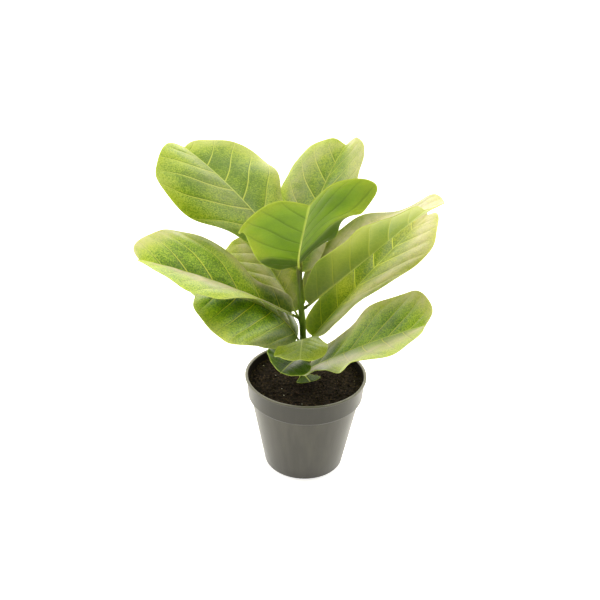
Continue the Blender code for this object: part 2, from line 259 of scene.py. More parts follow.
# Moulded polypropylene: satin, with faint upright flow lines 6 mm apart, clouding some 40 mm across and a
# pebbled skin of 0.4 mm from the mould. The top of the lip has a painted highlight in paler grey.
BAND_SHADE, LIP_HIGHLIGHT = (74.5 * MM, 78.5 * MM), (98.4 * MM, 99.8 * MM)  # heights
INNER_SHADE_HEIGHT, INNER_SHADE_RADIUS = (86 * MM, 88 * MM), (57.2 * MM, 57.5 * MM)
plastic = new_material("moulded_grey_polypropylene")
place = add_node(plastic, "TexCoord").outputs["Object"]
flow_place = add_node(plastic, "Mapping", inputs={"Vector": place, "Scale": (160, 160, 7)})
flow = add_node(plastic, "TexNoise", inputs={
    "Vector": flow_place.outputs["Vector"], "Scale": 1.0, "Detail": 3.0})
cloud = add_node(plastic, "TexNoise", inputs={"Vector": place, "Scale": 26.0, "Detail": 4.0})
mixed = add_node(plastic, "Mix", {"data_type": "FLOAT"}, {
    "Factor": 0.45, "A": flow.outputs["Fac"], "B": cloud.outputs["Fac"]})
tint = add_node(plastic, "ValToRGB", {"stops": ((0.32, "#3e3c33"), (0.5, "#45433a"), (0.68, "#4d4b40"))},
                {"Fac": mixed.outputs["Result"]})
height = add_node(plastic, "SeparateXYZ", inputs={"Vector": place}).outputs["Z"]
# Painted shade: the doubled band is painted darker, as it lets less light through, and the inner wall above
# the soil is painted near black, as shade inside the pot.
band = add_node(plastic, "MapRange", inputs={
    "Value": height, "From Min": BAND_SHADE[0], "From Max": BAND_SHADE[1], "To Min": 0.0, "To Max": 0.5})
banded = add_node(plastic, "Mix", {"data_type": "RGBA"}, {
    "Factor": band.outputs["Result"], "A": tint.outputs["Color"], "B": linear("#25241d")})
flat_place = add_node(plastic, "Mapping", inputs={"Vector": place, "Scale": (1, 1, 0)})
from_axis = add_node(plastic, "VectorMath", {"operation": "LENGTH"}, {0: flat_place.outputs["Vector"]})
# Painted shade on the inner wall above the soil.
inside = add_node(plastic, "MapRange", inputs={
    "Value": from_axis.outputs["Value"], "From Min": INNER_SHADE_RADIUS[0], "From Max": INNER_SHADE_RADIUS[1],
    "To Min": 0.9, "To Max": 0.0})
above = add_node(plastic, "MapRange", inputs={
    "Value": height, "From Min": INNER_SHADE_HEIGHT[0], "From Max": INNER_SHADE_HEIGHT[1]})
inner_shade = add_node(plastic, "Math", {"operation": "MULTIPLY"}, {
    0: inside.outputs["Result"], 1: above.outputs["Result"]})
inner_shaded = add_node(plastic, "Mix", {"data_type": "RGBA"}, {
    "Factor": inner_shade.outputs["Value"], "A": banded.outputs["Result"], "B": linear("#0b0805")})
# Painted highlight along the top of the lip.
lip_highlight = add_node(plastic, "MapRange", inputs={
    "Value": height, "From Min": LIP_HIGHLIGHT[0], "From Max": LIP_HIGHLIGHT[1], "To Min": 0.0, "To Max": 0.35})
lip_highlighted = add_node(plastic, "Mix", {"data_type": "RGBA"}, {
    "Factor": lip_highlight.outputs["Result"], "A": inner_shaded.outputs["Result"], "B": linear("#b3b1a6")})
skin = add_node(plastic, "TexNoise", inputs={"Vector": place, "Scale": 2600.0, "Detail": 1.0})
pebble = add_node(plastic, "Bump", inputs={
    "Strength": 0.12, "Distance": 0.2 * MM, "Height": skin.outputs["Fac"]})
gloss = add_node(plastic, "MapRange", inputs={
    "Value": cloud.outputs["Fac"], "From Min": 0.3, "From Max": 0.7, "To Min": 0.27, "To Max": 0.36})
finish_material(plastic, {
    "Base Color": lip_highlighted.outputs["Result"], "Roughness": gloss.outputs["Result"], "IOR": 1.49,
    "Normal": pebble.outputs["Normal"],
})
pot.data.materials.append(plastic)
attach(pot, "root")
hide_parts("pot")


# Potting soil -----------------------------------------------------------------------------------------
# Damp dark peat that fills the pot to 9 mm below the rim. It is drawn up inside the wall and in over the
# top, its surface is roughened, and loose crumbs, bark fibres and a few grains of perlite lie on it.

SOIL_LEVEL, SOIL_CROWN, SOIL_GAP = 91.0 * MM, 3.0 * MM, 0.3 * MM
BAND_SLOPE = (BAND_TOP - BAND_FOOT) / (LIP_LOW - BAND_HIGH)
SOIL_EDGE = BAND_FOOT - WALL + BAND_SLOPE * (SOIL_LEVEL - BAND_HIGH) - SOIL_GAP
SOIL_SIDES, SOIL_RINGS, SOIL_CREASE = 176, 56, math.radians(50)
HOLLOWS_PER_METRE, HOLLOW_DEPTH = 55, 0.7 * MM
CRUMBS_PER_METRE, CRUMB_HEIGHT = 330, 0.8 * MM
CRUMB_FRACTAL = (0.6, 2.1, 4)  # roughness, ratio of sizes and how many sizes
STEM_X, CLEAR_OF_STEM, CLEAR_OF_WALL = -3.7 * MM, 3.6 * MM, 1.5 * MM
SCATTER_SEED, TILT, STRETCH, FLATNESS = 7, 0.7, (0.7, 1.3), (0.5, 0.9)  # of the loose grains


def soil_top(x, y):
    """The soil's height: a low crown with hollows 18 mm across and crumbs of 3 mm and less."""
    share = math.hypot(x, y) / SOIL_EDGE
    level = SOIL_LEVEL + SOIL_CROWN * (1 - share ** 2)
    hollow = noise.noise(Vector((x * HOLLOWS_PER_METRE, y * HOLLOWS_PER_METRE, 1.7)))
    crumb = noise.fractal(Vector((x * CRUMBS_PER_METRE, y * CRUMBS_PER_METRE, 4.2)), *CRUMB_FRACTAL)
    return level + HOLLOW_DEPTH * hollow + CRUMB_HEIGHT * crumb


sides = [(BASE_RADIUS - WALL - SOIL_GAP, FLOOR + SOIL_GAP), (WALL_TOP - WALL - SOIL_GAP, BAND_LOW),
         (BAND_FOOT - WALL - SOIL_GAP, BAND_HIGH + WALL), (SOIL_EDGE, SOIL_LEVEL)]
sides += [(radius, SOIL_LEVEL) for radius in np.linspace(SOIL_EDGE - 0.9 * MM, 1.0 * MM, SOIL_RINGS)]
soil = draw_rings("peat_soil", [(r, 0, 0, z) for r, z in sides], SOIL_SIDES)
for vertex in soil.data.vertices:
    x, y, z = vertex.co
    if z > SOIL_LEVEL - 0.1 * MM:
        vertex.co.z = soil_top(x, y)

chance = random.Random(SCATTER_SEED)


def scatter(name, count, add_shape, sizes, sink, material):
    """Lay copies of a small shape on the soil, each squashed and turned its own way, as one mesh."""
    pieces = []
    bpy.ops.object.select_all(action="DESELECT")
    add_shape()
    first = bpy.context.object
    while len(pieces) < count:
        radius = (SOIL_EDGE - CLEAR_OF_WALL) * math.sqrt(chance.random())
        angle = chance.uniform(0, math.tau)
        x, y = radius * math.cos(angle), radius * math.sin(angle)
        if math.hypot(x - STEM_X, y) < CLEAR_OF_STEM:
            continue
        copy = bpy.data.objects.new(name, first.data.copy())
        bpy.context.scene.collection.objects.link(copy)
        size = chance.uniform(*sizes) * MM
        turned = Matrix.Rotation(chance.uniform(0, math.tau), 4, "Z")
        turned = turned @ Matrix.Rotation(chance.uniform(-TILT, TILT), 4, "X")
        squash = Matrix.Diagonal((
            size * chance.uniform(*STRETCH), size, size * chance.uniform(*FLATNESS), 1))
        lift = Matrix.Translation((x, y, soil_top(x, y) + size * sink))
        copy.data.transform(lift @ turned @ squash)
        pieces.append(copy)
    bpy.data.objects.remove(first)
    for piece in pieces:
        piece.select_set(True)
    bpy.context.view_layer.objects.active = pieces[0]
    bpy.ops.object.join()
    joined = bpy.context.object
    joined.data.materials.clear()
    joined.data.materials.append(material)
    return joined


# Damp peat: nearly black brown and matt, in crumbs of 2.4 mm broken down to a fraction of that.
peat = new_material("damp_dark_peat")
place = add_node(peat, "TexCoord").outputs["Object"]
coarse = add_node(peat, "TexNoise", inputs={"Vector": place, "Scale": 420.0, "Detail": 6.0, "Roughness": 0.7})
tint = add_node(peat, "ValToRGB", {"stops": (
    (0.30, "#0a0806"), (0.46, "#1a140f"), (0.58, "#30261c"), (0.68, "#5c4a36"), (0.78, "#85715a"))},
    {"Fac": coarse.outputs["Fac"]})
crumbs = add_node(peat, "Bump", inputs={
    "Strength": 0.7, "Distance": 0.8 * MM, "Height": coarse.outputs["Fac"]})
finish_material(peat, {
    "Base Color": tint.outputs["Color"], "Roughness": 0.95, "Specular IOR Level": 0.15,
    "Normal": crumbs.outputs["Normal"]})
soil.data.materials.append(peat)

# Shredded bark: dry brown splinters a few millimetres long.
splinter = new_material("shredded_bark_fibre")
streak = add_node(splinter, "TexNoise", inputs={
    "Vector": add_node(splinter, "TexCoord").outputs["Object"], "Scale": 600.0, "Detail": 3.0})
tint = add_node(splinter, "ValToRGB", {"stops": ((0.35, "#2a1d12"), (0.5, "#4a3623"), (0.7, "#75593a"))},
                {"Fac": streak.outputs["Fac"]})
finish_material(splinter, {"Base Color": tint.outputs["Color"], "Roughness": 0.85})

# Perlite: puffed volcanic glass, off-white and porous.
puffed = new_material("expanded_perlite_grain")
pores = add_node(puffed, "TexVoronoi", inputs={
    "Vector": add_node(puffed, "TexCoord").outputs["Object"], "Scale": 2200.0})
tint = add_node(puffed, "ValToRGB", {"stops": ((0.0, "#8d8a80"), (0.5, "#cfccc2"))},
                {"Fac": pores.outputs["Distance"]})
finish_material(puffed, {"Base Color": tint.outputs["Color"], "Roughness": 0.9})

loose = [
    scatter("peat_crumbs", 900, lambda: bpy.ops.mesh.primitive_ico_sphere_add(subdivisions=1, radius=1),
            sizes=(0.35, 1.15), sink=0.15, material=peat),
    scatter("bark_fibres", 110, lambda: bpy.ops.mesh.primitive_cylinder_add(vertices=6, radius=0.22, depth=4),
            sizes=(0.35, 0.8), sink=0.5, material=splinter),
    scatter("perlite_grains", 7, lambda: bpy.ops.mesh.primitive_ico_sphere_add(subdivisions=2, radius=1),
            sizes=(0.3, 0.6), sink=0.35, material=puffed),
]
bpy.ops.object.select_all(action="DESELECT")
for piece in loose + [soil]:
    piece.select_set(True)
bpy.context.view_layer.objects.active = soil
bpy.ops.object.join()
bpy.ops.object.shade_smooth_by_angle(angle=SOIL_CREASE)
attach(soil, "root")
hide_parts("potting_soil")


# Stem -------------------------------------------------------------------------------------------------
# The young single stem, green and smooth, with a swollen ring at each leaf and a pointed bud in its
# papery sheath at the top. It is drawn up ring by ring from the soil along its gentle sway.

STEM_SWAY = ((-31, -3.7), (4, -3.7), (39, -3.2), (62, -4.6), (85, -6.7), (109, -8.6), (131, -9.6))
STEM_RADIUS = ((-31, 2.6), (4, 2.8), (19, 3.0), (59, 3.3), (94, 3.1), (131, 2.5))
STEM_FOOT, STEM_TOP, RING_STEP = -8.0, 131.0, 1.25
STEM_SIDES, STEM_CREASE = 28, math.radians(60)
SLIMMER = 0.97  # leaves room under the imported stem's skin for the swollen rings
JOINTS, SWELLING, SWELLING_REACH = (10, 13, 30, 45, 49, 67, 72, 83, 110, 119, 125), 0.13, 1.6
BARK_TINT_HEIGHTS = (90 * MM, 235 * MM)  # heights between which the bark's colour changes
BUD = ((1.5, 0.92), (4, 0.95), (6.5, 0.72), (9, 0.42), (11, 0.2), (12, 0.06))  # rise, share of the radius


def read_off(table, height):
    """A value from a table of (height in mm above the soil's edge, millimetres), in metres."""
    heights, values = zip(*table)
    return np.interp(height, heights, values) * MM


def joint_swelling(height):
    """How much wider the stem is near its leaf joints."""
    return 1 + sum(SWELLING * math.exp(-((height - joint) / SWELLING_REACH) ** 2) for joint in JOINTS)


rings = []
for height in np.arange(STEM_FOOT, STEM_TOP, RING_STEP):
    radius = read_off(STEM_RADIUS, height) * joint_swelling(height) * SLIMMER
    rings.append((radius, read_off(STEM_SWAY, height), 0, SOIL_LEVEL + height * MM))
for rise, share in BUD:
    radius = read_off(STEM_RADIUS, STEM_TOP) * share
    rings.append((radius, read_off(STEM_SWAY, STEM_TOP), 0, SOIL_LEVEL + (STEM_TOP + rise) * MM))
stem = draw_rings("fig_stem", rings, STEM_SIDES)
bpy.ops.object.shade_smooth_by_angle(angle=STEM_CREASE)

# Young fig bark: green and faintly glossy, its colour changing with height, pale at the foot, with darker
# green stretches and browner near the top, with fine upright cracks a millimetre apart and pale breathing
# pores 2 to 3 mm apart.
bark = new_material("young_green_fig_bark")
place = add_node(bark, "TexCoord").outputs["Object"]
level = add_node(bark, "SeparateXYZ", inputs={"Vector": place}).outputs["Z"]
by_height = add_node(bark, "MapRange", inputs={
    "Value": level, "From Min": BARK_TINT_HEIGHTS[0], "From Max": BARK_TINT_HEIGHTS[1]})
height_tint = add_node(bark, "ValToRGB", {"stops": (
    (0.0, "#a9b94c"), (0.14, "#9fb040"), (0.26, "#5f7726"),
    (0.62, "#84a236"), (0.80, "#5f6c26"), (1.0, "#7d7a36"))},
    {"Fac": by_height.outputs["Result"]})
grain_place = add_node(bark, "Mapping", inputs={"Vector": place, "Scale": (900, 900, 120)})
cracks = add_node(bark, "TexNoise", inputs={
    "Vector": grain_place.outputs["Vector"], "Scale": 1.0, "Detail": 4.0})
pores = add_node(bark, "TexVoronoi", inputs={"Vector": place, "Scale": 420.0})
dots = add_node(bark, "ValToRGB", {"stops": ((0.05, 1.0), (0.16, 0.0))}, {"Fac": pores.outputs["Distance"]})
streaked = add_node(bark, "Mix", {"data_type": "RGBA", "blend_type": "OVERLAY"}, {
    "Factor": 0.55, "A": height_tint.outputs["Color"], "B": cracks.outputs["Fac"]})
faint_dots = add_node(bark, "Math", {"operation": "MULTIPLY"}, {0: dots.outputs["Color"], 1: 0.35})
flecked = add_node(bark, "Mix", {"data_type": "RGBA"}, {
    "Factor": faint_dots.outputs["Value"], "A": streaked.outputs["Result"], "B": linear("#a8ad6a")})
ridges = add_node(bark, "Bump", inputs={
    "Strength": 0.4, "Distance": 0.3 * MM, "Height": cracks.outputs["Fac"]})
finish_material(bark, {
    "Base Color": flecked.outputs["Result"], "Roughness": 0.5, "IOR": 1.45,
    "Normal": ridges.outputs["Normal"]})
stem.data.materials.append(bark)
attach(stem, "root")
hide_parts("stem")


# Leaves -----------------------------------------------------------------------------------------------
# Violin-shaped blades, leathery and waxed above, paler below, each on a short stalk that runs on as the
# midrib. A flat grid gets the blade's outline, its curves, its veins and its quilting, then a thickness,
# and the stalk with its midrib is a tapered rod joined to it.

BLADE, EDGE, STALK = 0.8 * MM, 0.5 * MM, 1.4 * MM
LEAF_OUTLINE = (
    (0.00, 0.03), (0.005, 0.17), (0.045, 0.33), (0.13, 0.43), (0.25, 0.52), (0.38, 0.68), (0.52, 0.87),
    (0.66, 0.99), (0.79, 1.00), (0.90, 0.85), (0.975, 0.58), (1.01, 0.30), (0.985, 0.02),
)
NOTCH = 0.985  # where the midrib ends, as a share of the blade
WAIST_PLACE, WAIST_SPREAD = 0.25, 0.20
TIP_PLACE, TIP_SPREAD, TIP_FADE = 0.92, 0.12, 0.08
RIPPLES, RIPPLE_LAG = 2.2, 0.25  # waves along each margin, and half of what one margin lags the other by
LEAST_CURL = 0.05  # degrees, added because an arc needs some bend to have a radius
ROW_LEAN = 1.5  # how late a row of the grid leaves the midrib's even spacing for the outline's
COLUMN_CROWDING = 1.15  # gathers the grid's columns towards the midrib
VEIN_RISE, VEIN_CURVE = 0.26, 0.12  # how a side vein climbs towards the tip on its way to the margin
VEINS = (0.08, 0.22, 0.37, 0.53, 0.69, 0.85)  # where the side veins leave the midrib
VEIN_WANDER = ((0.012, 5), (0.008, 11))  # size and waves to the margin
VEIN_GROOVE, QUILT_FULLNESS = 0.045, 0.8
QUILTING, GROOVE_DEPTH = 0.7 * MM, 0.25 * MM
FLAT_MARGIN, FLAT_MIDDLE, FULL_SIZE = 9 * MM, 6 * MM, 110  # FULL_SIZE is the length that quilts fully
MARGIN_WAVE, MARGIN_WAVES, MARGIN_WAVE_FADE = 0.5 * MM, 47, 6  # a fine wave that only the margin has
THIN_MARGIN = 3 * MM  # how far in from the edge the blade has its full thickness
NUDGE = 0.2 * MM  # the step over which the tilt of a bent blade is measured
GRID_ROWS, GRID_COLUMNS, LEAF_CREASE = 132, 84, math.radians(50)
SMALL_LEAF, SMALL_GRID = 30, 24
# Painted sheen: how far its bands spread across a half, and where they and the tip's begin up the blade.
SHEEN_SPREAD, SHEEN_START, TIP_SHEEN_START, TIP_SHEEN_REACH = 0.3, 0.2, 0.84, 0.1
MIDRIB_STEPS, MIDRIB_SPAN, STALK_GAP = 70, (-0.1, 1.05), 0.3 * MM
ROD_RINGS, ROD_START, ROD_ROUNDNESS, ROD_WELD = 90, -0.8, 3, 1e-6
ROD_LEAST, ROD_GROWTH = 0.45, 250  # a short leaf's rod is thinner
ROD_FOOT, ROD_TAPER, ROD_TAPER_POWER = 0.9, 0.76, 0.6  # shares of STALK at the foot and lost by the tip
JOINT_FLARE, JOINT_FLARE_REACH = 0.4, 2.5  # the stalk's swollen joint with the stem
SUNK_STALK, SUNK_MIDRIB = 0.35, 0.62  # how much of its radius the rod lies below the blade's upper side


class Leaf(NamedTuple):
    """How one leaf grows, in millimetres and degrees. Pairs are at the stem and at the tip."""

    height: float
    heading: float
    length: float
    width: float
    stalk: float = 8
    rise: tuple = (40, 20)
    swing: float = 0
    roll: tuple = (0, 0)
    fold: tuple = (25, 15)
    curl: tuple = (-5, -5)
    ripple: float = 0
    ripple_start: float = 0
    lopsided: float = 0
    waist: float = 0
    tip: float = 0
    tone: str = "mature"
    shift: tuple = (0, 0)  # of the side veins, on the right and on the left half
    bloom: tuple = ((0.0, 0.5), (0.0, 0.5))  # painted sheen on the right and the left half: how much, and how far out
    tip_sheen: float = 0.0  # painted sheen across the tip


LEAVES = {
    "leaf_upper_left": Leaf(
        125, 141, 169, 130, rise=(40, 14), swing=-5, roll=(17, -11), fold=(-4, 16), curl=(-9, -36),
        ripple=5, ripple_start=-0.05, waist=-0.08, tip=-0.16, tone="young", shift=(-0.08, 0.0),
        bloom=((0.3, 1.1), (0.2, 0.2)),
    ),
    "leaf_top_back": Leaf(
        110, 85, 146, 96, rise=(43, 39), swing=-34, roll=(-2, 18), fold=(21, 24), curl=(-10, -36),
        ripple=-1, ripple_start=-0.1, tip=0.1, tone="young", shift=(0.03, -0.02),
        bloom=((0.5, 0.9), (0.35, 0.6)),
    ),
    "leaf_front_centre": Leaf(
        125, -93, 151, 95, stalk=22, rise=(30, 53), swing=13, roll=(-33, -18), fold=(21, 33),
        curl=(-35, -52), ripple=4, ripple_start=-0.55, lopsided=-0.08, waist=0.18, tip=0.44, tone="young",
    ),
    "leaf_upper_right": Leaf(
        83, -15, 152, 100, stalk=6, rise=(46, 49), swing=-5, roll=(17, 28), fold=(78, 5),
        curl=(-25, 13), ripple=-3, ripple_start=-0.05, lopsided=-0.25, waist=0.24, tip=0.26, tone="pale",
        bloom=((0.7, 0.7), (0.75, 0.7)),
    ),
    "leaf_right_middle": Leaf(
        41, 40, 175, 103, stalk=10, rise=(36, 32), swing=-5, roll=(-5, 8), fold=(30, 10),
        curl=(-14, -9), waist=-0.1, tip=-0.2, tone="pale", shift=(0.02, 0.0),
        bloom=((0.7, 0.70), (0.35, 1.1)), tip_sheen=0.9,
    ),
    "leaf_right_low": Leaf(
        13, -39, 153, 104, stalk=7, rise=(42, 32), swing=7, roll=(-20, -13), fold=(16, 11),
        curl=(1, 20), ripple=4, ripple_start=0.4, lopsided=0.1, shift=(-0.03, 0.02),
        bloom=((0.75, 0.55), (0.75, 1.0)),
    ),
    "leaf_left_middle": Leaf(
        72, 188, 160, 108, rise=(32, 22), swing=16, roll=(16, 6), fold=(38, 24), curl=(-28, -34),
        ripple=1, waist=-0.25, tip=-0.18,
        bloom=((0.75, 1.05), (0.95, 0.30)),
    ),
    "leaf_left_low": Leaf(
        45, 196, 120, 102, stalk=6, rise=(66, -6), swing=-4, roll=(34, -1), fold=(-2, -1),
        curl=(-42, -28), lopsided=-0.06, waist=0.19, shift=(0.03, -0.03),
        bloom=((0.5, 0.2), (0.3, 1.1)),
    ),
    "leaf_back_left": Leaf(
        67, 129, 103, 81, stalk=10, rise=(44, 15), swing=-2, roll=(-3, 20), fold=(22, -8),
        curl=(-5, -9), tone="pale",
        bloom=((0.7, 0.35), (0.8, 0.3)),
    ),
    "leaf_low_front": Leaf(
        49, -92, 70, 49, stalk=4, rise=(37, -6), roll=(-22, -3), fold=(-1, 1), curl=(-5, -4),
        ripple=2, ripple_start=-0.2, waist=-0.06, tone="young",
    ),
    "leaf_soil_front": Leaf(
        30, -111, 50, 47, stalk=5, rise=(21, 4), roll=(0, 20), fold=(28, 21), curl=(0, -5), tone="in_shadow",
    ),
    "leaf_foot": Leaf(9.6, -64, 14, 25, stalk=1, rise=(4, -4), fold=(6, 4), tone="shaded"),
}


def smooth_through(points, share):
    """A Catmull-Rom curve through points, read at shares of the way along it."""
    points = np.asarray(points, float)
    last = len(points) - 1
    reach = np.clip(share, 0, 1) * last
    i = np.minimum(reach.astype(int), last - 1)
    t = (reach - i)[..., None]
    before, here = points[np.maximum(i - 1, 0)], points[i]
    there, after = points[i + 1], points[np.minimum(i + 2, last)]
    return 0.5 * (
        2 * here
        + (there - before) * t
        + (2 * before - 5 * here + 4 * there - after) * t**2
        + (3 * here - before - 3 * there + after) * t**3
    )


def bump_at(share, centre, spread):
    return np.exp(-(((share - centre) / spread) ** 2))


def blend(pair, share):
    return np.radians(pair[0] + (pair[1] - pair[0]) * share)


def blade_outline(leaf, share, column):
    """Flat blade point (along, across) in metres for a share of the way up and a column from -1 to 1."""
    along, across = smooth_through(LEAF_OUTLINE, share).T
    across = across + leaf.waist * bump_at(along, WAIST_PLACE, WAIST_SPREAD) * np.sin(math.pi * share)
    near_end = np.clip((1 - share) / TIP_FADE, 0, 1)
    across = across + leaf.tip * bump_at(along, TIP_PLACE, TIP_SPREAD) * near_end
    lean = np.abs(column) ** ROW_LEAN
    a = (NOTCH * share * (1 - lean) + along * lean) * leaf.length * MM
    half = across * leaf.width / 2 * MM * (1 + leaf.lopsided * np.sign(column))
    return a, column * half, half


def midrib_frame(leaf, along):
    """Place, right-hand side and upper side of the midrib at distances from the stem."""
    total = (leaf.length + leaf.stalk) * MM
    steps = np.linspace(MIDRIB_SPAN[0] * total, MIDRIB_SPAN[1] * total, MIDRIB_STEPS)

    def direction(distance):
        share = np.clip(distance / total, 0, 1)
        slope, turn = blend(leaf.rise, share), blend((leaf.heading, leaf.heading + leaf.swing), share)
        level = np.cos(slope)
        return turn, np.stack([level * np.cos(turn), level * np.sin(turn), np.sin(slope)], -1)

    ahead = direction(steps)[1]
    middle = (ahead[1:] + ahead[:-1]) / 2 * (steps[1] - steps[0])
    track = np.vstack([np.zeros(3), np.cumsum(middle, axis=0)])
    origin = [np.interp(0, steps, track[:, i]) for i in range(3)]
    facing = math.radians(leaf.heading)
    out = read_off(STEM_RADIUS, leaf.height) + STALK_GAP
    sway = read_off(STEM_SWAY, leaf.height)
    start = np.array([sway + out * math.cos(facing), out * math.sin(facing), SOIL_LEVEL + leaf.height * MM])
    spot = np.stack([np.interp(along, steps, track[:, i] - origin[i]) for i in range(3)], -1) + start
    turn, forward = direction(along)
    right = np.stack([np.sin(turn), -np.cos(turn), 0 * turn], -1)
    return spot, right, np.cross(right, forward)


def leaf_surface(leaf, a, b):
    """Bend flat blade points into space: the midrib's arc, the fold, the curl and the rippled margin."""
    spot, right, up = midrib_frame(leaf, a + leaf.stalk * MM)
    share = np.clip(a / (leaf.length * MM), 0, 1)
    roll = blend(leaf.roll, share)[..., None]
    right, up = np.cos(roll) * right + np.sin(roll) * up, np.cos(roll) * up - np.sin(roll) * right
    fold = blend(leaf.fold, share)
    half = leaf.width / 2 * MM
    reach = np.abs(b) / half
    curl = np.radians(np.where(b > 0, leaf.curl[0], leaf.curl[1]) + LEAST_CURL)
    sideways = np.sign(b) * half / curl * (np.sin(fold + curl * reach) - np.sin(fold))
    upwards = -half / curl * (np.cos(fold + curl * reach) - np.cos(fold))
    wave = math.tau * (RIPPLES * share + leaf.ripple_start + RIPPLE_LAG * np.sign(b))
    upwards = upwards + leaf.ripple * MM * np.sin(wave) * reach**2
    return spot + right * sideways[..., None] + up * upwards[..., None]


def vein_number(leaf, a, b):
    """A number that is whole on each side vein: 0 on the lowest, 1 on the next, and so on."""
    across = np.abs(b) / (leaf.width / 2 * MM)
    (broad, broad_waves), (fine, fine_waves) = VEIN_WANDER
    wander = broad * np.sin(across * broad_waves + leaf.heading)
    wander = wander + fine * np.sin(across * fine_waves + leaf.height)
    start = a / (leaf.length * MM) - VEIN_RISE * across - VEIN_CURVE * across**2 + wander * across
    start = start - np.where(b > 0, leaf.shift[0], leaf.shift[1])
    first, last = VEINS[1] - VEINS[0], VEINS[-1] - VEINS[-2]
    number = np.interp(start, VEINS, range(len(VEINS)))
    number = np.where(start < VEINS[0], (start - VEINS[0]) / first, number)
    return np.where(start > VEINS[-1], len(VEINS) - 1 + (start - VEINS[-1]) / last, number)


def relief(leaf, a, b, to_edge):
    """How far the upper side stands up between its veins, in metres."""
    size = min(1, leaf.length / FULL_SIZE)
    off_vein = np.abs(vein_number(leaf, a, b) - np.round(vein_number(leaf, a, b)))
    pillow = np.sin(math.pi * np.clip(off_vein, 0, 0.5)) ** QUILT_FULLNESS
    groove = np.exp(-((off_vein / VEIN_GROOVE) ** 2))
    inner = np.clip(to_edge / FLAT_MARGIN, 0, 1) * np.clip(np.abs(b) / FLAT_MIDDLE, 0, 1)
    return size * inner * (QUILTING * pillow - GROOVE_DEPTH * groove)


def grow_blade(name, leaf):
    """The blade as a grid bent to its place, with its vein map, its painted sheen and its live thickness.

    The vein map holds the vein number, the millimetres from the midrib and the millimetres to the margin.
    """
    bpy.ops.object.select_all(action="DESELECT")
    columns, rows = (SMALL_GRID, SMALL_GRID) if leaf.length < SMALL_LEAF else (GRID_COLUMNS, GRID_ROWS)
    bpy.ops.mesh.primitive_grid_add(x_subdivisions=columns, y_subdivisions=rows, size=2)
    blade = bpy.context.object
    blade.name = name
    mesh = blade.data
    flat = np.empty(len(mesh.vertices) * 3)
    mesh.vertices.foreach_get("co", flat)
    flat = flat.reshape(-1, 3)
    column = np.sign(flat[:, 0]) * np.abs(flat[:, 0]) ** COLUMN_CROWDING
    share = (flat[:, 1] + 1) / 2
    a, b, half = blade_outline(leaf, share, column)
    points = leaf_surface(leaf, a, b)
    ahead = leaf_surface(leaf, a + NUDGE, b) - leaf_surface(leaf, a - NUDGE, b)
    aside = leaf_surface(leaf, a, b + NUDGE) - leaf_surface(leaf, a, b - NUDGE)
    upper = np.cross(aside, ahead)
    upper = upper / np.linalg.norm(upper, axis=1, keepdims=True)
    to_edge = half * (1 - np.abs(column))
    waves = MARGIN_WAVE * np.sin(share * MARGIN_WAVES + np.sign(column) + leaf.heading)
    waves = waves * np.abs(column) ** MARGIN_WAVE_FADE * np.sin(math.pi * share)
    points = points + upper * (relief(leaf, a, b, to_edge) + waves)[:, None]
    mesh.vertices.foreach_set("co", points.ravel())
    vein_map = mesh.attributes.new("vein_map", "FLOAT_VECTOR", "POINT")
    values = np.stack([vein_number(leaf, a, b), np.abs(b) / MM, to_edge / MM], -1)
    vein_map.data.foreach_set("vector", values.ravel())
    # Painted sheen, stored on the blade for its upper skin.
    amount, place_out = [np.where(b > 0, leaf.bloom[0][k], leaf.bloom[1][k]) for k in (0, 1)]
    sheen_layer = mesh.attributes.new("wax_bloom", "FLOAT", "POINT")
    banded = amount * bump_at(np.abs(column), place_out, SHEEN_SPREAD) * np.clip(share / SHEEN_START, 0, 1)
    at_tip = leaf.tip_sheen * np.clip((share - TIP_SHEEN_START) / TIP_SHEEN_REACH, 0, 1)
    sheen_layer.data.foreach_set("value", np.maximum(banded, at_tip))
    thickness = blade.vertex_groups.new(name="thickness")
    for i, inward in enumerate(np.clip(to_edge / THIN_MARGIN, 0, 1)):
        thickness.add([i], float((EDGE + (BLADE - EDGE) * inward) / BLADE), "REPLACE")
    plump = blade.modifiers.new("thickness", "SOLIDIFY")
    plump.thickness = BLADE
    plump.offset = -1
    plump.vertex_group = "thickness"
    plump.material_offset = 1
    plump.material_offset_rim = 1
    return blade


